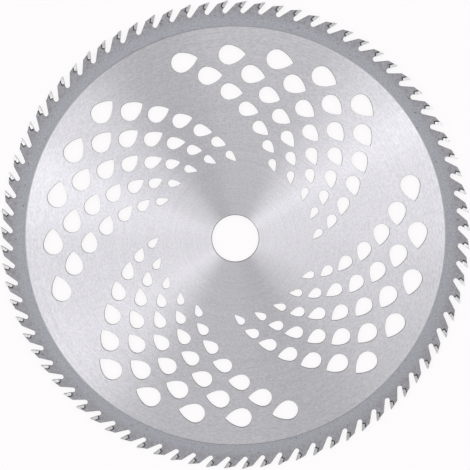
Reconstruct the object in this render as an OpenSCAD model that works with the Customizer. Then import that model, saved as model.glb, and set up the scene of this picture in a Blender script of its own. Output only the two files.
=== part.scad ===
// Carbide tipped brush cutter blade, lying flat.
// Millimetres. +Z is the bore's axis and the origin is the middle of the bore.

/* [Plate] */
// Diameter over the cutting points
tip_circle_d = 255; // [240:1:280]
// Thickness of the steel plate
plate_t = 1.6; // [1.2:0.1:2.4]
// Diameter of the bore
bore_d = 25.4; // [20:0.2:40]
// Chamfer on both ends of the bore
bore_chamfer = 0.3; // [0.1:0.05:0.4]

/* [Teeth] */
// Number of teeth, in left and right hands by turns
tooth_count = 80; // [60:2:90]
// Angle of the first tooth's cutting point, from the X axis
first_tooth = 1.7; // [0:0.1:6]
// Lean of the cutting face from the radius
hook_angle = 32; // [26:1:36]
// Depth of the gullets below the cutting points
gullet_depth = 6.75; // [6.5:0.05:8]
// Radius of the gullet's round floor
gullet_r = 1.4; // [1:0.05:1.6]
// Distance from the cutting point to the knee of the tooth's back, along the rim
knee_run = 5.85; // [5:0.05:6.5]
// Drop of the knee below the cutting point
knee_drop = 1.66; // [1.4:0.02:2]
// Radius of the knee
knee_r = 0.6; // [0.3:0.1:1]

/* [Carbide tips] */
// Length of a tip along its cutting face
tip_l = 4.6; // [4:0.1:5]
// Thickness of a tip behind its cutting face
tip_t = 1.6; // [1.2:0.1:1.8]
// How far a tip stands out of the plate on each side
tip_set = 0.4; // [0.25:0.05:0.6]
// How far the cutting face stands in front of the steel
tip_proud = 0.15; // [0.05:0.05:0.3]
// Relief angle of the tip's top
top_relief = 12; // [8:1:15]
// Sideways bevel of the tip's top, to the left and to the right by turns
top_bevel = 8; // [0:1:12]
// Clearance angle of the tip's sides, towards the bore
side_clear_in = 1; // [0.5:0.25:2]
// Clearance angle of the tip's sides, behind the cutting face
side_clear_back = 2.5; // [1:0.5:4]
// Step from the top of the tip down to the steel behind it
steel_step = 0.05; // [0.02:0.01:0.1]

/* [Drop holes] */
// Number of fields of holes
field_count = 4; // [3:1:4]
// Curved arms of holes in each field
arm_count = 5; // [3:1:5]
// Angle between neighbouring arms
arm_pitch = 15; // [14.5:0.25:16]
// Angle of the first arm's outermost hole, from the X axis
first_arm = 107.1; // [0:0.1:360]
// Distance of the outermost holes inside the cutting points
row_inset = 28.6; // [26:0.1:32]
// Gap between the outermost two rows of holes
row_gap = 10; // [9.5:0.1:10.5]
// How much less each further gap is
row_gap_ease = 0.44; // [0.3:0.02:0.5]
// Angle by which the second hole of an arm lags behind the first
row_lag = 7.3; // [6.5:0.1:8]
// How much less each further hole lags
row_lag_ease = 0.05; // [0:0.01:0.1]
// Radius of the round end of the outermost holes
drop_r = 5.4; // [4.8:0.1:5.6]
// How much smaller the second row's round ends are
drop_r_step = 0.44; // [0.4:0.02:0.5]
// How much more each further row shrinks
drop_r_ease = 0.04; // [0.02:0.01:0.05]
// Angle from the widest line of a hole to where its round end meets its side
drop_shoulder = 15; // [8:1:18]
// Radius of the hole's pointed end
drop_tip_r = 0.4; // [0.2:0.05:0.5]

/* [Hidden] */
// Turn of each row's points inwards from the rim's own direction, outermost row first
drop_turns = [0, 8, 10, 12, 28, 30, 48];
// Reach of each row's points from the middle of the round end, in round radii
drop_reaches = [1.7, 1.65, 1.67, 1.78, 1.98, 1.92, 2.3];
row_count = len(drop_turns);

// Edges run this far inside a circle where they leave it, so that they cross it cleanly
inset = 0.01;
// Cutters run this far past what they cut
over = 0.5;
// Steps in the knee's arc
knee_steps = 4;
$fn = 96;

tip_r = tip_circle_d / 2;
tip_w = plate_t + 2 * tip_set;
tooth_pitch = 360 / tooth_count;
pair_count = tooth_count / 2;
field_pitch = 360 / field_count;
bore_r = bore_d / 2;

function unit(v) = v / norm(v);
function turned(p, a) = [p.x * cos(a) - p.y * sin(a), p.x * sin(a) + p.y * cos(a)];

// A place on a tooth, from its cutting point: down the cutting face, and behind the face.
// X runs out along the radius and Y along the rim, against the cutting direction.
function on_tooth(down, behind) =
    [behind * sin(hook_angle) - down * cos(hook_angle), down * sin(hook_angle) + behind * cos(hook_angle)];

// A place on a tooth, as the next tooth in the cutting direction has it
function on_next(p) = turned(p + [tip_r, 0], -tooth_pitch) - [tip_r, 0];

// Points of an arc that rounds the corner k between the lines to a and to b
function corner_arc(a, k, b, r, steps) =
    let (
        to_a = unit(a - k),
        to_b = unit(b - k),
        half = acos(to_a * to_b) / 2,
        c = k + unit(to_a + to_b) * r / sin(half),
        from = k + to_a * r / tan(half) - c,
        sweep = (180 - 2 * half) * sign(cross(from, to_a * -1))
    )
    [for (i = [0 : steps]) c + turned(from, sweep * i / steps)];

// The middle of a gullet: it touches the front of the steel, and its floor is at the gullet's depth
gullet_behind = tip_proud - gullet_r + inset;
gullet_radius = tip_r - gullet_depth + gullet_r;
gullet_down =
    tip_r * cos(hook_angle) - sqrt(
        pow(tip_r * cos(hook_angle), 2) + pow(gullet_radius, 2) - pow(tip_r, 2) - pow(gullet_behind, 2)
        - 2 * tip_r * gullet_behind * sin(hook_angle)
    );
gullet_middle = on_tooth(gullet_down, gullet_behind);

// The tip's top falls with the distance behind the face, and across the tip with the bevel
top_fall = tan(hook_angle + top_relief);
bevel_fall = tan(top_bevel);
steel_top = tip_t * top_fall + bevel_fall * (tip_w + plate_t) / 2 + steel_step;
steel_corner = on_tooth(steel_top, tip_t);
knee = [-knee_drop, knee_run];

// Half the tip's width at a place down and behind its cutting face
function half_w(down, behind) = tip_w / 2 - down * tan(side_clear_in) - behind * tan(side_clear_back);

// How far down the tip's top is at a corner: behind the face, on a side that is high (1) or low (-1)
function top_down(behind, high) =
    (behind * top_fall + bevel_fall * (tip_w / 2 * (1 - high) + high * behind * tan(side_clear_back)))
    / (1 - bevel_fall * high * tan(side_clear_in));

function tip_corner(down, behind, side) =
    let (p = on_tooth(down, behind)) [p.x, p.y, side * half_w(down, behind)];

// One carbide tip from its cutting point. hand is 1 where its upper side is the high one, and -1 where the
// lower side is.
module carbide_tip(hand) {
    corners = [
        for (behind = [0, tip_t], side = [-1, 1], top = [true, false])
            tip_corner(top ? top_down(behind, side * hand) : tip_l, behind, side)
    ];
    polyhedron(
        points = corners,
        faces = [[0, 1, 3, 2], [4, 6, 7, 5], [0, 4, 5, 1], [2, 3, 7, 6], [0, 2, 6, 4], [1, 5, 7, 3]]
    );
}

// Places what it is given at the cutting point of tooth i
module at_tooth(i) {
    rotate(first_tooth + i * tooth_pitch) translate([tip_r, 0]) children();
}

// What is cut away in front of one tooth: its seat, its gullet and the top and back of the tooth before it
module tooth_gap() {
    before_knee = on_next(knee);
    before_corner = on_next(steel_corner);
    to_middle = gullet_middle - before_knee;
    floor_r = gullet_r - inset;
    back_dir = atan2(to_middle.y, to_middle.x) + asin(floor_r / norm(to_middle));
    back_l = sqrt(pow(norm(to_middle), 2) - pow(floor_r, 2));
    back_foot = before_knee + back_l * [cos(back_dir), sin(back_dir)];
    polygon(concat(
        [
            on_tooth(gullet_down, tip_proud),
            on_tooth(tip_l, tip_proud),
            on_tooth(tip_l, tip_t),
            on_tooth(-4 * over, tip_t),
            on_next(on_tooth(-4 * over, tip_t - over)),
            before_corner + unit(before_corner - before_knee) * over / 4
        ],
        corner_arc(before_corner, before_knee, back_foot, knee_r, knee_steps),
        [back_foot]
    ));
    translate(gullet_middle) circle(gullet_r);
}

// One drop-shaped hole, with the middle of its round end at the origin and its point towards X
module drop(r, reach) {
    point = reach - drop_tip_r;
    lean = sin(drop_shoulder);
    side_r = (point * point + r * r - drop_tip_r * drop_tip_r - 2 * point * r * lean)
        / (2 * (r - drop_tip_r - point * lean));
    side_c = (side_r - r) * [-lean, -cos(drop_shoulder)];
    shoulder_x = r * lean;
    point_x = side_c.x + (point - side_c.x) * side_r / (side_r - drop_tip_r);
    circle(r);
    intersection() {
        translate(side_c) circle(side_r - inset);
        translate([side_c.x, -side_c.y]) circle(side_r - inset);
        translate([shoulder_x, -r]) square([point_x - shoulder_x, 2 * r]);
    }
    translate([point, 0]) circle(drop_tip_r);
}

function row_sum(first, ease, k) = first * k - ease * k * (k - 1) / 2;
function row_radius(k) = tip_r - row_inset - row_sum(row_gap, row_gap_ease, k);
function row_angle(k) = -row_sum(row_lag, row_lag_ease, k);
function row_drop_r(k) = drop_r - row_sum(drop_r_step, -drop_r_ease, k);

// The four fields of holes. A drop's point looks along the rim in the cutting direction, turned inwards.
module drop_fields() {
    for (field = [0 : field_count - 1], arm = [0 : arm_count - 1], k = [0 : row_count - 1])
        rotate(first_arm - field * field_pitch - arm * arm_pitch + row_angle(k))
            translate([row_radius(k), 0])
                rotate(-90 - drop_turns[k])
                    drop(row_drop_r(k), row_drop_r(k) * drop_reaches[k]);
}

// The bore with its chamfers
module bore_cut() {
    half = plate_t / 2;
    flare = bore_r + bore_chamfer;
    rotate_extrude()
        polygon([
            [0, -half - over],
            [flare + over, -half - over],
            [bore_r, bore_chamfer - half],
            [bore_r, half - bore_chamfer],
            [flare + over, half + over],
            [0, half + over]
        ]);
}

module plate() {
    color("#c4c6c9")
        difference() {
            linear_extrude(height = plate_t, center = true)
                difference() {
                    circle(tip_r, $fn = 360);
                    for (i = [0 : tooth_count - 1])
                        at_tooth(i) tooth_gap();
                    drop_fields();
                }
            bore_cut();
        }
}

// Two neighbouring tips, of the left and of the right hand
module tip_pair(i) {
    color("#7d8084") {
        at_tooth(2 * i - 2) carbide_tip(1);
        at_tooth(2 * i - 1) carbide_tip(-1);
    }
}

function pair_name(i) = str("tip_pair_", i < 10 ? "0" : "", i);

plate();
for (i = [1 : pair_count])
    tip_pair(i);
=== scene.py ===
import math

import bpy
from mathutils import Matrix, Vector
from mathutils.geometry import delaunay_2d_cdt


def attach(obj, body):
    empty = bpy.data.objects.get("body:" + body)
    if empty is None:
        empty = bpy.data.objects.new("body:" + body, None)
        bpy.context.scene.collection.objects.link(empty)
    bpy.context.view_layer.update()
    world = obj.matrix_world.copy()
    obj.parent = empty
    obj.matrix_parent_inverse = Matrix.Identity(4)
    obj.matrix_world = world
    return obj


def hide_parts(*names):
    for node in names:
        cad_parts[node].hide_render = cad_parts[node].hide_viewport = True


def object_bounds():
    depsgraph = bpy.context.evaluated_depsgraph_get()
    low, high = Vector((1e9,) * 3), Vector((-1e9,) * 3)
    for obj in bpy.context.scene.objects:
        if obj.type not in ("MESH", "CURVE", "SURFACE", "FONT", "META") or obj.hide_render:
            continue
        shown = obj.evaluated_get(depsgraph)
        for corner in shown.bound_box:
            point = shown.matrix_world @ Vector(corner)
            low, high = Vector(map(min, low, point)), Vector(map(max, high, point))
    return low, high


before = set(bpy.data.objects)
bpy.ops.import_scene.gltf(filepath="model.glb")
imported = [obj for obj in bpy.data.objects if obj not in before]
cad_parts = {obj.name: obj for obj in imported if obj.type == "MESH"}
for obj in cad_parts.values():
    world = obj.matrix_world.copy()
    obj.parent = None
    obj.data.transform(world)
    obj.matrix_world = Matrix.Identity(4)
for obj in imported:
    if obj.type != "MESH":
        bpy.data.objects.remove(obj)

cad_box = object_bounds()
scene = bpy.context.scene
scene.view_settings.view_transform = "Standard"

MM = 0.001

# Sizes in millimetres and angles in degrees, the same as the solids have
TIP_CIRCLE_R = 127.5
PLATE_T = 1.6
BORE_R = 12.7
BORE_CHAMFER = 0.3
TOOTH_COUNT = 80
FIRST_TOOTH = 1.7
HOOK = 32
GULLET_DEPTH = 6.75
GULLET_R = 1.4
KNEE = (-1.66, 5.85)
KNEE_R = 0.6
TIP_L = 4.6
TIP_T = 1.6
TIP_SET = 0.4
TIP_PROUD = 0.15
TOP_RELIEF = 12
TOP_BEVEL = 8
STEEL_STEP = 0.05
FIELD_COUNT = 4
ARM_COUNT = 5
ARM_PITCH = 15
FIRST_ARM = 107.1
ROW_INSET = 28.6
ROW_GAP, ROW_GAP_EASE = 10, 0.44
ROW_LAG, ROW_LAG_EASE = 7.3, 0.05
DROP_R, DROP_R_STEP, DROP_R_EASE = 5.4, 0.44, 0.04
DROP_SHOULDER = 15
DROP_TIP_R = 0.4
DROP_TURNS = (0, 8, 10, 12, 28, 30, 48)
DROP_REACHES = (1.7, 1.65, 1.67, 1.78, 1.98, 1.92, 2.3)
TOOTH_PITCH = 360 / TOOTH_COUNT

# Sizes of the looks alone: where the brushed face ends, how sharply, the ring that the blaster's mask left
# round it, and the round on the cut edges
FACE_R = 113.7
FACE_BLUR = 0.1
MASK_RING = 0.45
RIM_START_R = FACE_R + MASK_RING
EDGE_ROUND = 0.12

# The bead of solder: its radius, how far below the cutting point it starts at the seat's back, and how far
# behind the cutting face it ends at the seat's foot
BEAD_R = 0.34
BEAD_TOP = 1.5 * TIP_T
BEAD_FRONT = 0.3

# Points in the arcs of the outlines, and rows of faces over the round of an edge
KNEE_STEPS, GULLET_STEPS = 4, 14
DROP_ROUND_STEPS, DROP_SIDE_STEPS, DROP_POINT_STEPS = 22, 7, 5
BORE_POINTS, BORDER_POINTS = 144, 240
EDGE_ROWS = 2
# Walls that meet at an angle with a greater cosine than this are shaded as one smooth wall
SMOOTH_COSINE = 0.8
# At a sharp corner, the mitre is at most the inset divided by this
MITRE_LIMIT = 0.5


def turned(p, degrees):
    c, s = math.cos(math.radians(degrees)), math.sin(math.radians(degrees))
    return (p[0] * c - p[1] * s, p[0] * s + p[1] * c)


def on_tooth(down, behind):
    """A place down the cutting face and behind it, from the cutting point."""
    return turned((-down, behind), -HOOK)


def on_next(p):
    """A place on a tooth, as the next tooth in the cutting direction has it."""
    x, y = turned((p[0] + TIP_CIRCLE_R, p[1]), -TOOTH_PITCH)
    return (x - TIP_CIRCLE_R, y)


def arc(centre, r, start, end, steps):
    angles = [math.radians(start + (end - start) * i / steps) for i in range(steps + 1)]
    return [(centre[0] + r * math.cos(a), centre[1] + r * math.sin(a)) for a in angles]


def bearing(a, b):
    return math.degrees(math.atan2(b[1] - a[1], b[0] - a[0]))


def corner_arc(a, k, b, r, steps):
    """Points of an arc that rounds the corner k between the lines to a and to b."""
    to_a = (Vector(a) - Vector(k)).normalized()
    to_b = (Vector(b) - Vector(k)).normalized()
    half = to_a.angle(to_b) / 2
    centre = Vector(k) + (to_a + to_b).normalized() * r / math.sin(half)
    first = bearing(centre, Vector(k) + to_a * r / math.tan(half))
    last = bearing(centre, Vector(k) + to_b * r / math.tan(half))
    return arc(centre, r, first, first + (last - first + 180) % 360 - 180, steps)


def tooth_outline():
    """The rim from the steel behind one tip to the steel behind the next, counter-clockwise."""
    hook = math.radians(HOOK)
    behind = TIP_PROUD - GULLET_R
    floor_r = TIP_CIRCLE_R - GULLET_DEPTH + GULLET_R
    along = TIP_CIRCLE_R * math.cos(hook)
    down = along - math.sqrt(
        along ** 2 + floor_r ** 2 - TIP_CIRCLE_R ** 2 - behind ** 2
        - 2 * TIP_CIRCLE_R * behind * math.sin(hook))
    middle = on_tooth(down, behind)
    tip_w = PLATE_T + 2 * TIP_SET
    steel_top = (
        TIP_T * math.tan(math.radians(HOOK + TOP_RELIEF))
        + math.tan(math.radians(TOP_BEVEL)) * (tip_w + PLATE_T) / 2 + STEEL_STEP)
    corner = on_next(on_tooth(steel_top, TIP_T))
    knee = on_next(KNEE)
    away = math.dist(knee, middle)
    back = math.radians(bearing(knee, middle)) + math.asin(GULLET_R / away)
    run = math.sqrt(away ** 2 - GULLET_R ** 2)
    foot = (knee[0] + run * math.cos(back), knee[1] + run * math.sin(back))
    start, end = bearing(middle, foot), bearing(middle, on_tooth(down, TIP_PROUD))
    return (
        corner_arc(corner, knee, foot, KNEE_R, KNEE_STEPS)
        + arc(middle, GULLET_R, start, start - (start - end) % 360, GULLET_STEPS)
        + [on_tooth(TIP_L, TIP_PROUD), on_tooth(TIP_L, TIP_T), on_tooth(steel_top, TIP_T)])


def rim_outline():
    one = tooth_outline()
    return [
        turned((x + TIP_CIRCLE_R, y), FIRST_TOOTH + i * TOOTH_PITCH)
        for i in range(TOOTH_COUNT) for x, y in one]


def drop_outline(r, reach):
    """A drop-shaped hole, clockwise: its round end is centred on the origin and its point looks along X."""
    lean = math.sin(math.radians(DROP_SHOULDER))
    point = reach - DROP_TIP_R
    side_r = (point ** 2 + r ** 2 - DROP_TIP_R ** 2 - 2 * point * r * lean) / (
        2 * (r - DROP_TIP_R - point * lean))
    side_x = -(side_r - r) * lean
    side_y = -(side_r - r) * math.cos(math.radians(DROP_SHOULDER))
    shoulder = 90 - DROP_SHOULDER
    slope = bearing((side_x, side_y), (point, 0))
    points = (
        arc((0, 0), r, shoulder, 360 - shoulder, DROP_ROUND_STEPS)
        + arc((side_x, -side_y), side_r, -shoulder, -slope, DROP_SIDE_STEPS)[1:]
        + arc((point, 0), DROP_TIP_R, -slope, slope, DROP_POINT_STEPS)[1:]
        + arc((side_x, side_y), side_r, slope, shoulder, DROP_SIDE_STEPS)[1:-1])
    return points[::-1]


def row_sum(first, ease, k):
    """The sum of k steps, of which each is smaller than the one before it by ease."""
    return first * k - ease * k * (k - 1) / 2


def drop_outlines():
    outlines = []
    for k, (turn, reach) in enumerate(zip(DROP_TURNS, DROP_REACHES)):
        r = DROP_R - row_sum(DROP_R_STEP, -DROP_R_EASE, k)
        middle_r = TIP_CIRCLE_R - ROW_INSET - row_sum(ROW_GAP, ROW_GAP_EASE, k)
        lag = row_sum(ROW_LAG, ROW_LAG_EASE, k)
        one = [turned(p, -90 - turn) for p in drop_outline(r, r * reach)]
        for field in range(FIELD_COUNT):
            for arm in range(ARM_COUNT):
                at = FIRST_ARM - field * 360 / FIELD_COUNT - arm * ARM_PITCH - lag
                outlines.append([turned((x + middle_r, y), at) for x, y in one])
    return outlines


def circle_outline(r, count):
    return arc((0, 0), r, 360, 0, count)[:-1]


# Settings of the nodes that are used most. A Map Range takes its value, the two ends of the value's range
# and, where they aren't 0 and 1, what it gives at those ends
PLUS, MINUS = {"operation": "ADD"}, {"operation": "SUBTRACT"}
TIMES, OVER = {"operation": "MULTIPLY"}, {"operation": "DIVIDE"}
TIMES_PLUS = {"operation": "MULTIPLY_ADD"}
LARGER = {"operation": "MAXIMUM"}
SMOOTHLY = {"interpolation_type": "SMOOTHSTEP"}
COLOURS = {"data_type": "RGBA"}

# Noise below the first value is a pattern's dark tone, and above the second its light tone
DARK, LIGHT = 0.3, 0.7


def linear(hex_colour):
    """An sRGB hex colour as linear red, green, blue and 1."""
    parts = [int(hex_colour[i:i + 2], 16) / 255 for i in (1, 3, 5)]
    return tuple(c / 12.92 if c <= 0.04045 else ((c + 0.055) / 1.055) ** 2.4 for c in parts) + (1,)


def add(tree, kind, settings=None, *values, **inputs):
    """Adds a node, sets its properties, and gives its first output in use.

    The values go to its inputs in their order, and the others to the inputs that they name. Each is a plain
    value, a hex colour, an output of another node, or a list of such outputs."""
    node = tree.nodes.new(kind)
    for name, value in (settings or {}).items():
        setattr(node, name, value)
    in_use = [socket for socket in node.inputs if socket.enabled]
    named = [(node.inputs[name.replace("_", " ")], value) for name, value in inputs.items()]
    for socket, value in list(zip(in_use, values)) + named:
        for one in value if isinstance(value, list) else [value]:
            if isinstance(one, bpy.types.NodeSocket):
                tree.links.new(one, socket)
            else:
                socket.default_value = linear(one) if isinstance(one, str) else one
    return next((socket for socket in node.outputs if socket.enabled), None)


def new_material(name):
    material = bpy.data.materials.new(name)
    material.use_nodes = True
    material.node_tree.nodes.clear()
    return material, material.node_tree


def round_the_bore(tree):
    """The level direction out from the bore, and the distance from its axis."""
    place = add(tree, "ShaderNodeTexCoord").node.outputs["Object"]
    level = add(tree, "ShaderNodeVectorMath", TIMES, place, (1, 1, 0))
    outward = add(tree, "ShaderNodeVectorMath", {"operation": "NORMALIZE"}, level)
    return outward, add(tree, "ShaderNodeVectorMath", {"operation": "LENGTH"}, level)


def ring_streaks(tree, outward, radius, width, length, **inputs):
    """Scratches round the bore, about width apart and as long as length at the rim, in millimetres."""
    turn = add(tree, "ShaderNodeVectorMath", {"operation": "SCALE"}, outward, RIM_START_R / length)
    row = add(tree, "ShaderNodeMath", OVER, radius, width * MM)
    at = add(tree, "ShaderNodeVectorMath", PLUS, turn, add(tree, "ShaderNodeCombineXYZ", Z=row))
    return add(tree, "ShaderNodeTexNoise", Vector=at, Scale=1.0, **inputs)


def brushed_steel():
    """Spring steel brushed as it turned on its bore: bright, in fine rings that fan the light out."""
    material, tree = new_material("spring_steel_brushed_round_the_bore")
    outward, radius = round_the_bore(tree)
    # Real brushing is under 0.1 mm wide and too fine to show, so it is drawn 0.8 and 0.7 mm wide
    rings = ring_streaks(tree, outward, radius, width=0.8, length=160, Detail=2.0, Roughness=0.6)
    scratches = ring_streaks(tree, outward, radius, width=0.7, length=2.2, Detail=3.0, Roughness=0.7)
    ring_share = 0.2
    scratched = add(tree, "ShaderNodeMath", TIMES, scratches, 1 - ring_share)
    marks = add(tree, "ShaderNodeMath", TIMES_PLUS, rings, ring_share, scratched)
    marked = add(tree, "ShaderNodeMapRange", SMOOTHLY, marks, DARK, LIGHT)
    tone = add(tree, "ShaderNodeMix", COLOURS, marked, "#D6D5DB", "#F2F0F6")
    # The edge of the blaster's mask shows as a thin ring, dark where the face is dark
    masked = add(
        tree, "ShaderNodeMapRange", SMOOTHLY, radius, (FACE_R - FACE_BLUR) * MM, (FACE_R + FACE_BLUR) * MM)
    tone = add(tree, "ShaderNodeMix", COLOURS, masked, tone, "#B3B2B6")
    rough = add(tree, "ShaderNodeMapRange", SMOOTHLY, marks, DARK, LIGHT, 0.34, 0.32)
    shader = add(
        tree, "ShaderNodeBsdfPrincipled", Base_Color=tone, Metallic=1.0, Roughness=rough, Anisotropic=0.97,
        Tangent=outward)
    add(tree, "ShaderNodeOutputMaterial", Surface=shader)
    return material


def from_tooth_point(tree, place, radius):
    """How far a place is down its tooth's cutting face, as X, and behind that face, as Y, in millimetres."""
    pitch = math.radians(TOOTH_PITCH)
    parts = add(tree, "ShaderNodeSeparateXYZ", Vector=place).node.outputs
    here = add(tree, "ShaderNodeMath", {"operation": "ARCTAN2"}, parts["Y"], parts["X"])
    past_first = add(tree, "ShaderNodeMath", MINUS, here, math.radians(FIRST_TOOTH))
    teeth = add(tree, "ShaderNodeMath", OVER, past_first, pitch)
    past_tooth = add(tree, "ShaderNodeMath", {"operation": "FRACT"}, teeth)
    turn = add(tree, "ShaderNodeMath", TIMES, past_tooth, pitch)
    cosine = add(tree, "ShaderNodeMath", {"operation": "COSINE"}, turn)
    sine = add(tree, "ShaderNodeMath", {"operation": "SINE"}, turn)
    r = add(tree, "ShaderNodeMath", OVER, radius, MM)
    out = add(tree, "ShaderNodeMath", TIMES, r, cosine)
    x = add(tree, "ShaderNodeMath", MINUS, out, TIP_CIRCLE_R)
    y = add(tree, "ShaderNodeMath", TIMES, r, sine)
    at = add(tree, "ShaderNodeCombineXYZ", X=x, Y=y)
    hook_sin, hook_cos = math.sin(math.radians(HOOK)), math.cos(math.radians(HOOK))
    down = add(tree, "ShaderNodeVectorMath", {"operation": "DOT_PRODUCT"}, at, (-hook_cos, hook_sin, 0))
    behind = add(tree, "ShaderNodeVectorMath", {"operation": "DOT_PRODUCT"}, at, (hook_sin, hook_cos, 0))
    return add(tree, "ShaderNodeCombineXYZ", X=down, Y=behind)


def blasted_steel():
    """Spring steel blasted with fine grit after the brushing: an even matte grey with no streaks.

    The brazing has hazed it near the teeth, and it is drawn dark and ragged behind each tip and below it."""
    material, tree = new_material("spring_steel_grit_blasted")
    place = add(tree, "ShaderNodeTexCoord").node.outputs["Object"]
    radius = round_the_bore(tree)[1]
    # Grit pits are 0.05 mm across and too fine to show, so they are drawn 0.7 mm across
    pits = add(tree, "ShaderNodeTexNoise", Vector=place, Scale=1 / (0.7 * MM), Detail=3.0, Roughness=0.75)
    pitted = add(tree, "ShaderNodeMapRange", SMOOTHLY, pits, DARK, LIGHT)
    tone = add(tree, "ShaderNodeMix", COLOURS, pitted, "#AAABB1", "#C4C5CB")

    # The haze sets in between these two distances from the axis, in blotches 1.3 mm across
    haze_from, haze_full = 117, 122
    blotches = add(tree, "ShaderNodeTexNoise", Vector=place, Scale=1 / (1.3 * MM), Detail=3.0, Roughness=0.7)
    blotchy = add(tree, "ShaderNodeMapRange", SMOOTHLY, blotches, 0.38, 0.62, 0.1, 1.0)
    near_teeth = add(tree, "ShaderNodeMapRange", SMOOTHLY, radius, haze_from * MM, haze_full * MM)
    haze = add(tree, "ShaderNodeMath", TIMES, near_teeth, blotchy)
    tone = add(tree, "ShaderNodeMix", COLOURS, haze, tone, "#A9A6AA")

    # The dark patch fades out 0.9 mm from the seat, and noise in 0.8 mm patches shifts that by up to this
    # much
    most_shift = 2.5
    on_its_tooth = from_tooth_point(tree, place, radius)
    past_tip = add(tree, "ShaderNodeVectorMath", MINUS, on_its_tooth, (TIP_L, TIP_T, 0))
    off_seat = add(tree, "ShaderNodeVectorMath", LARGER, past_tip, (0, 0, 0))
    away = add(tree, "ShaderNodeVectorMath", {"operation": "LENGTH"}, off_seat)
    edge_noise = add(tree, "ShaderNodeTexNoise", Vector=place, Scale=1 / (0.8 * MM), Detail=3.0, Roughness=0.8)
    either_way = add(tree, "ShaderNodeMath", MINUS, edge_noise, 0.5)
    shift = add(tree, "ShaderNodeMath", TIMES, either_way, 2 * most_shift)
    ragged = add(tree, "ShaderNodeMath", PLUS, away, shift)
    dark_behind_tip = add(tree, "ShaderNodeMapRange", SMOOTHLY, ragged, -0.8, 0.9, 1.0, 0.0)
    tone = add(tree, "ShaderNodeMix", COLOURS, dark_behind_tip, tone, "#5C595A")

    # A few pits, at the peaks of the noise, hold dark grit
    grit = add(tree, "ShaderNodeTexNoise", Vector=place, Scale=1 / (1.4 * MM), Detail=1.0)
    gritty = add(tree, "ShaderNodeMapRange", SMOOTHLY, grit, 0.7, 0.76, 0.0, 0.7)
    tone = add(tree, "ShaderNodeMix", COLOURS, gritty, tone, "#6E6D6E")
    bump = add(tree, "ShaderNodeBump", Strength=0.2, Distance=0.02 * MM, Height=pits)
    shader = add(tree, "ShaderNodeBsdfPrincipled", Base_Color=tone, Metallic=1.0, Roughness=0.8, Normal=bump)
    add(tree, "ShaderNodeOutputMaterial", Surface=shader)
    return material


def cut_steel():
    """Laser-cut walls of the spring steel: darker and duller than its faces, a thin dark line from above.
    Part of the darkness is painted shade.
    """
    material, tree = new_material("spring_steel_laser_cut_with_painted_shade")
    # The laser's drag lines are 0.1 mm apart, and are drawn 0.3 mm apart. They run across the thickness, so
    # the pattern is drawn out 8 times that way
    place = add(tree, "ShaderNodeTexCoord").node.outputs["Object"]
    drawn_out = add(tree, "ShaderNodeVectorMath", TIMES, place, (1, 1, 0.12))
    drag = add(tree, "ShaderNodeTexNoise", Vector=drawn_out, Scale=1 / (0.3 * MM), Detail=2.0)
    dragged = add(tree, "ShaderNodeMapRange", SMOOTHLY, drag, DARK, LIGHT)
    # The dark tone is partly the cut steel's own and partly painted shade, which makes the walls a thin dark
    # line from above
    tone = add(tree, "ShaderNodeMix", COLOURS, dragged, "#57575B", "#8A8A8E")
    shader = add(tree, "ShaderNodeBsdfPrincipled", Base_Color=tone, Metallic=1.0, Roughness=0.45)
    add(tree, "ShaderNodeOutputMaterial", Surface=shader)
    return material


def ground_carbide():
    """Sintered tungsten carbide, diamond ground round the blade: satin, bright or dark by the light."""
    material, tree = new_material("tungsten_carbide_ground")
    outward, radius = round_the_bore(tree)
    # Grinding marks are 0.02 mm apart and too fine to show, so they are drawn 0.4 mm apart
    marks = ring_streaks(tree, outward, radius, width=0.4, length=2, Detail=2.0)
    marked = add(tree, "ShaderNodeMapRange", SMOOTHLY, marks, DARK, LIGHT)
    # Only the sides are ground bright; the faces that stand upright keep the dark grey of the sintering
    normal = add(tree, "ShaderNodeNewGeometry").node.outputs["True Normal"]
    up = add(tree, "ShaderNodeSeparateXYZ", Vector=normal).node.outputs["Z"]
    level = add(tree, "ShaderNodeMath", {"operation": "ABSOLUTE"}, up)
    side = add(tree, "ShaderNodeMapRange", SMOOTHLY, level, 0.5, 0.8)
    sintered = add(tree, "ShaderNodeMix", COLOURS, marked, "#4B4C50", "#64656A")
    ground = add(tree, "ShaderNodeMix", COLOURS, marked, "#CACACD", "#F6F6F8")
    tone = add(tree, "ShaderNodeMix", COLOURS, side, sintered, ground)
    shader = add(
        tree, "ShaderNodeBsdfPrincipled", Base_Color=tone, Metallic=1.0, Roughness=0.33, Anisotropic=1.0,
        Tangent=outward)
    add(tree, "ShaderNodeOutputMaterial", Surface=shader)
    return material


def silver_solder():
    """Silver solder, melted in and left with burnt flux: a dull, dark bead."""
    material, tree = new_material("silver_solder_brazed")
    # The flux has burnt in patches 1.2 mm across
    place = add(tree, "ShaderNodeTexCoord").node.outputs["Object"]
    patches = add(tree, "ShaderNodeTexNoise", Vector=place, Scale=1 / (1.2 * MM), Detail=2.0)
    burnt = add(tree, "ShaderNodeMapRange", SMOOTHLY, patches, 0.35, 0.65)
    tone = add(tree, "ShaderNodeMix", COLOURS, burnt, "#252321", "#4A4744")
    shader = add(tree, "ShaderNodeBsdfPrincipled", Base_Color=tone, Metallic=0.8, Roughness=0.55)
    add(tree, "ShaderNodeOutputMaterial", Surface=shader)
    return material


# The plate's finishes, by their places in its material slots
ON_FACE, ON_RIM, ON_CUT = range(3)


def edge_directions(outline):
    """For each edge of an outline with the metal on its left, the level direction away from the metal."""
    ends = outline[1:] + outline[:1]
    along = [Vector(end) - Vector(start) for start, end in zip(outline, ends)]
    return [Vector((d.y, -d.x)).normalized() for d in along]


def inset_outline(outline, away, depth):
    """The outline moved into the metal by a depth, with mitred corners."""
    points = []
    for i, p in enumerate(outline):
        middle = (away[i - 1] + away[i]).normalized()
        points.append(Vector(p) - middle * depth / max(middle.dot(away[i]), MITRE_LIMIT))
    return points


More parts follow.
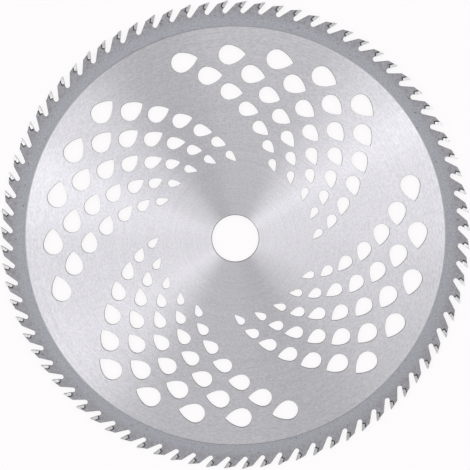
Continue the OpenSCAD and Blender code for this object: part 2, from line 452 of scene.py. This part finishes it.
def rounded_rows(depth, steps):
    """Rows of an edge from the upper face to the lower: inset, height, and how far out and up it looks."""
    half = PLATE_T / 2
    upper = []
    for k in range(steps + 1):
        a = math.radians(90 * k / steps)
        inset, drop = depth * (1 - math.sin(a)), depth * (1 - math.cos(a))
        upper.append((inset, half - drop, math.sin(a), math.cos(a)))
    return upper + [(inset, -z, out, -up) for inset, z, out, up in reversed(upper)]


def chamfered_rows(depth):
    """Rows of a chamfered edge from the upper face to the lower: inset and height. It is flat shaded."""
    half = PLATE_T / 2
    upper = [(depth, half), (0, half - depth)]
    return upper + [(inset, -z) for inset, z in reversed(upper)]


class PlateMesh:
    """The plate's mesh as it grows: corners in millimetres, and faces with their normals and finishes."""

    def __init__(self):
        self.verts, self.faces, self.normals, self.slots = [], [], [], []
        # The first corner of each wall's upper and lower row, and how many corners a row has
        self.walls = []

    def add_face(self, corners, corner_normals, slot):
        self.faces.append(corners)
        self.normals.extend(corner_normals)
        self.slots.append(slot)

    def add_wall(self, outline, rows, flat_shaded=False):
        away = edge_directions(outline)
        count = len(outline)
        start = len(self.verts)
        for row in rows:
            self.verts.extend((p.x, p.y, row[1]) for p in inset_outline(outline, away, row[0]))
        for i in range(count):
            j = (i + 1) % count
            here = away[i]
            first, last = [
                (near + here).normalized() if near.dot(here) > SMOOTH_COSINE else here
                for near in (away[i - 1], away[j])]
            for k in range(len(rows) - 1):
                a, b = start + k * count, start + (k + 1) * count
                ends = [(last, rows[k]), (first, rows[k]), (first, rows[k + 1]), (last, rows[k + 1])]
                if flat_shaded:
                    run = Vector((rows[k][0] - rows[k + 1][0], rows[k][1] - rows[k + 1][1])).normalized()
                    corner_normals = [(d.x * run.y, d.y * run.y, run.x) for d, _ in ends]
                else:
                    corner_normals = [(d.x * row[2], d.y * row[2], row[3]) for d, row in ends]
                self.add_face((a + j, a + i, b + i, b + j), corner_normals, ON_CUT)
        self.walls.append((start, start + (len(rows) - 1) * count, count))

    def add_cap(self, upper):
        """Fills the plate's upper or lower face between its walls, with a border where the brushing ends."""
        border = circle_outline(RIM_START_R, BORDER_POINTS)
        own, edges = [], []
        rows = [(top if upper else bottom, count) for top, bottom, count in self.walls]
        for start, count in rows + [(len(self.verts), len(border))]:
            first = len(own)
            own.extend(range(start, start + count))
            edges.extend((first + i, first + (i + 1) % count) for i in range(count))
        height = PLATE_T / 2 if upper else -PLATE_T / 2
        self.verts.extend((x, y, height) for x, y in border)
        flat = [Vector(self.verts[n][:2]) for n in own]
        tolerance = 1e-5
        places, _, triangles, came_from, _, _ = delaunay_2d_cdt(flat, edges, [], 0, tolerance)
        if len(places) != len(flat) or not all(came_from):
            raise RuntimeError("outlines of the plate cross")
        triangles = [tuple(came_from[n][0] for n in triangle) for triangle in triangles]
        for a, b, c in metal_only(triangles, edges, set(range(first, len(own))), flat):
            middle = (flat[a] + flat[b] + flat[c]) / 3
            slot = ON_FACE if middle.length < RIM_START_R else ON_RIM
            corners = (a, b, c) if (twice_area(flat, a, b, c) > 0) == upper else (a, c, b)
            self.add_face(tuple(own[n] for n in corners), [(0, 0, 1 if upper else -1)] * 3, slot)


def twice_area(flat, a, b, c):
    """Twice the area of a triangle, below zero where its corners run clockwise."""
    return (flat[b] - flat[a]).cross(flat[c] - flat[a])


def sides(corners):
    return list(zip(corners, corners[1:] + corners[:1]))


def metal_only(triangles, edges, border, flat):
    """Keeps the triangles inside the rim and outside the holes: their side changes across each outline.

    The edges have the metal on their left, apart from those of the border, which has metal on both sides."""
    neighbours = {}
    for t, corners in enumerate(triangles):
        for side in sides(corners):
            neighbours.setdefault(frozenset(side), []).append(t)
    outlines = {edge for edge in edges if not border.issuperset(edge)}
    metal = {}
    for t, (a, b, c) in enumerate(triangles):
        for side in sides((a, c, b) if twice_area(flat, a, b, c) < 0 else (a, b, c)):
            if side in outlines:
                metal[t] = True
            elif side[::-1] in outlines:
                metal[t] = False
    walls = {frozenset(edge) for edge in outlines}
    queue = list(metal)
    while queue:
        t = queue.pop()
        for side in map(frozenset, sides(triangles[t])):
            if side in walls:
                continue
            for other in neighbours[side]:
                if other not in metal:
                    metal[other] = metal[t]
                    queue.append(other)
    return [corners for t, corners in enumerate(triangles) if metal.get(t)]


def build_plate():
    """The plate with the solid's outlines, rounded where it was cut, and split where the brushing ends."""
    plate_mesh = PlateMesh()
    rounded = rounded_rows(EDGE_ROUND, EDGE_ROWS)
    plate_mesh.add_wall(rim_outline(), rounded)
    for outline in drop_outlines():
        plate_mesh.add_wall(outline, rounded)
    plate_mesh.add_wall(circle_outline(BORE_R, BORE_POINTS), chamfered_rows(BORE_CHAMFER), flat_shaded=True)
    for upper in (True, False):
        plate_mesh.add_cap(upper)

    mesh = bpy.data.meshes.new("plate_dressed")
    mesh.from_pydata([(x * MM, y * MM, z * MM) for x, y, z in plate_mesh.verts], [], plate_mesh.faces)
    mesh.polygons.foreach_set("material_index", plate_mesh.slots)
    mesh.polygons.foreach_set("use_smooth", [True] * len(plate_mesh.faces))
    mesh.normals_split_custom_set(plate_mesh.normals)
    for material in (brushed_steel(), blasted_steel(), cut_steel()):
        mesh.materials.append(material)
    made = bpy.data.objects.new("plate_dressed", mesh)
    scene.collection.objects.link(made)
    return made


plate = build_plate()
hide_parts("plate")
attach(plate, "root")

carbide = ground_carbide()
for name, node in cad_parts.items():
    if name.startswith("tip_pair"):
        node.data.materials.clear()
        node.data.materials.append(carbide)


def solder_tree():
    """Lays a bead of solder on both faces of the plate, along the back and the foot of each tip's seat.

    On a tooth, X runs up the cutting face to the cutting point, and Y runs back from the face."""
    tree = bpy.data.node_groups.new("solder_beads", "GeometryNodeTree")
    sizes = (
        "Tip Circle Radius", "Hook Angle", "First Tooth", "Seat Length", "Seat Depth", "Plate Half",
        "Bead Radius", "Bead Top", "Bead Front")
    kinds = dict.fromkeys(sizes, "NodeSocketFloat")
    kinds["Tooth Count"] = "NodeSocketInt"
    kinds["Solder"] = "NodeSocketMaterial"
    for name, kind in kinds.items():
        tree.interface.new_socket(name, in_out="INPUT", socket_type=kind)
    tree.interface.new_socket("Geometry", in_out="OUTPUT", socket_type="NodeSocketGeometry")
    given = add(tree, "NodeGroupInput").node.outputs

    bead_top = add(tree, "ShaderNodeMath", TIMES, given["Bead Top"], -1.0)
    seat_foot = add(tree, "ShaderNodeMath", TIMES, given["Seat Length"], -1.0)
    top = add(tree, "ShaderNodeCombineXYZ", X=bead_top, Y=given["Seat Depth"])
    corner = add(tree, "ShaderNodeCombineXYZ", X=seat_foot, Y=given["Seat Depth"])
    front = add(tree, "ShaderNodeCombineXYZ", X=seat_foot, Y=given["Bead Front"])
    back_line = add(tree, "GeometryNodeCurvePrimitiveLine", Start=top, End=corner)
    foot_line = add(tree, "GeometryNodeCurvePrimitiveLine", Start=corner, End=front)
    seat = add(tree, "GeometryNodeJoinGeometry", Geometry=[back_line, foot_line])
    section = add(tree, "GeometryNodeCurvePrimitiveCircle", Resolution=8, Radius=given["Bead Radius"])
    bead = add(tree, "GeometryNodeCurveToMesh", Curve=seat, Profile_Curve=section, Fill_Caps=True)

    lean_back = add(tree, "ShaderNodeMath", TIMES, given["Hook Angle"], -1.0)
    lean = add(tree, "ShaderNodeCombineXYZ", Z=lean_back)
    on_faces = []
    for side in (1.0, -1.0):
        height = add(tree, "ShaderNodeMath", TIMES, given["Plate Half"], side)
        at = add(tree, "ShaderNodeCombineXYZ", X=given["Tip Circle Radius"], Z=height)
        on_faces.append(add(tree, "GeometryNodeTransform", Geometry=bead, Translation=at, Rotation=lean))
    both = add(tree, "GeometryNodeJoinGeometry", Geometry=on_faces)

    teeth = add(tree, "GeometryNodePoints", Count=given["Tooth Count"])
    number = add(tree, "GeometryNodeInputIndex")
    pitch = add(tree, "ShaderNodeMath", OVER, math.tau, given["Tooth Count"])
    round_rim = add(tree, "ShaderNodeMath", TIMES_PLUS, number, pitch, given["First Tooth"])
    spin = add(tree, "ShaderNodeCombineXYZ", Z=round_rim)
    all_beads = add(tree, "GeometryNodeInstanceOnPoints", Points=teeth, Instance=both, Rotation=spin)
    real = add(tree, "GeometryNodeRealizeInstances", Geometry=all_beads)
    dressed = add(tree, "GeometryNodeSetMaterial", Geometry=real, Material=given["Solder"])
    add(tree, "NodeGroupOutput", Geometry=dressed)
    return tree


def grown(tree, name, values):
    """Runs a geometry tree with named inputs and returns its result as a plain object."""
    holder = bpy.data.objects.new(name + "_holder", bpy.data.meshes.new(name + "_holder"))
    scene.collection.objects.link(holder)
    modifier = holder.modifiers.new("grow", "NODES")
    modifier.node_group = tree
    for item in tree.interface.items_tree:
        if item.in_out == "INPUT":
            modifier[item.identifier] = values[item.name]
    holder.update_tag()
    mesh = bpy.data.meshes.new_from_object(holder.evaluated_get(bpy.context.evaluated_depsgraph_get()))
    if not mesh.polygons:
        raise RuntimeError(name + " came out empty")
    holder.modifiers.remove(modifier)
    bpy.data.objects.remove(holder)
    mesh.name = name
    made = bpy.data.objects.new(name, mesh)
    scene.collection.objects.link(made)
    return made


beads = grown(solder_tree(), "solder_beads", {
    "Tip Circle Radius": TIP_CIRCLE_R * MM, "Hook Angle": math.radians(HOOK),
    "First Tooth": math.radians(FIRST_TOOTH), "Seat Length": TIP_L * MM, "Seat Depth": TIP_T * MM,
    "Plate Half": PLATE_T / 2 * MM, "Bead Radius": BEAD_R * MM, "Bead Top": BEAD_TOP * MM,
    "Bead Front": BEAD_FRONT * MM, "Tooth Count": TOOTH_COUNT, "Solder": silver_solder(),
})
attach(beads, "root")

# The studio, in metres, degrees and watts
TABLE_HALF = 3
TABLE_GAP = 0.00002
WALL_HEIGHT = 0.9
LAMP_ELEVATION = 45
LAMP_AWAY = 2.8
LAMP_HEIGHT = 1.56
CAMERA_AIM = Vector((-0.00018, 0.00179, 0))
CAMERA_AWAY = 0.6097
CAMERA_TILT = math.radians(4.4)


def white_table():
    """A white table that turns up into low white walls.

    Lamps light it as any white surface; seen straight or in the steel, most of its white is its own."""
    material, tree = new_material("white_table")
    path = add(tree, "ShaderNodeLightPath").node.outputs
    seen = add(tree, "ShaderNodeMath", LARGER, path["Is Camera Ray"], path["Is Glossy Ray"])
    seen = add(tree, "ShaderNodeMath", LARGER, seen, path["Is Transmission Ray"])
    lit = add(tree, "ShaderNodeBsdfDiffuse", Color="#E7E6E6")
    shaded = add(tree, "ShaderNodeBsdfDiffuse", Color="#595959")
    glow = add(tree, "ShaderNodeEmission", Color="#FFFDFE", Strength=0.88)
    bright = add(tree, "ShaderNodeAddShader", None, shaded, glow)
    add(tree, "ShaderNodeOutputMaterial", Surface=add(tree, "ShaderNodeMixShader", None, seen, lit, bright))
    mesh = bpy.data.meshes.new("table_top")
    low = cad_box[0].z - TABLE_GAP
    corners = [(x * TABLE_HALF, y * TABLE_HALF) for x, y in ((-1, -1), (1, -1), (1, 1), (-1, 1))]
    verts = [(x, y, z) for z in (low, low + WALL_HEIGHT) for x, y in corners]
    walls = [(i, i + 4, (i + 1) % 4 + 4, (i + 1) % 4) for i in range(4)]
    mesh.from_pydata(verts, [], [(0, 1, 2, 3)] + walls)
    mesh.materials.append(material)
    top = bpy.data.objects.new("table_top", mesh)
    scene.collection.objects.link(top)


def soft_box(name, azimuth, away, width, power):
    """A lamp that stands this many degrees round from +X and looks at the bore."""
    light = bpy.data.lights.new(name, "AREA")
    light.shape = "RECTANGLE"
    light.size, light.size_y, light.energy = width, LAMP_HEIGHT, power
    lamp = bpy.data.objects.new(name, light)
    a, e = math.radians(azimuth), math.radians(LAMP_ELEVATION)
    back = Vector((math.cos(a) * math.cos(e), math.sin(a) * math.cos(e), math.sin(e)))
    lamp.location = back * away
    lamp.rotation_euler = back.to_track_quat("Z", "Y").to_euler()
    scene.collection.objects.link(lamp)


white_table()

world = bpy.data.worlds.new("studio")
scene.world = world
world.use_nodes = True
world.node_tree.nodes.clear()
sky = add(world.node_tree, "ShaderNodeBackground", Color="#FFFFFF", Strength=0.6)
add(world.node_tree, "ShaderNodeOutputWorld", Surface=sky)

soft_box("soft_box_right", azimuth=23, away=LAMP_AWAY, width=2.46, power=20.8)
soft_box("soft_box_left", azimuth=159, away=LAMP_AWAY, width=1.64, power=16.4)
soft_box("soft_box_front", azimuth=204, away=LAMP_AWAY, width=2.4, power=15.2)
soft_box("soft_box_back", azimuth=83, away=LAMP_AWAY, width=1.44, power=4.6)
# The strips stand just in front of the boxes
soft_box("strip_right", azimuth=28, away=LAMP_AWAY - 0.04, width=0.3, power=2.2)
soft_box("strip_left", azimuth=166, away=LAMP_AWAY - 0.04, width=0.3, power=2)

camera_data = bpy.data.cameras.new("camera")
camera_data.sensor_width = 36
camera_data.lens = 86
camera_data.clip_start, camera_data.clip_end = 0.01, 20
camera = bpy.data.objects.new("camera", camera_data)
camera.location = CAMERA_AIM + CAMERA_AWAY * Vector((0, math.sin(CAMERA_TILT), math.cos(CAMERA_TILT)))
camera.rotation_euler = (-CAMERA_TILT, 0, 0)
scene.collection.objects.link(camera)
scene.camera = camera

bpy.context.view_layer.update()
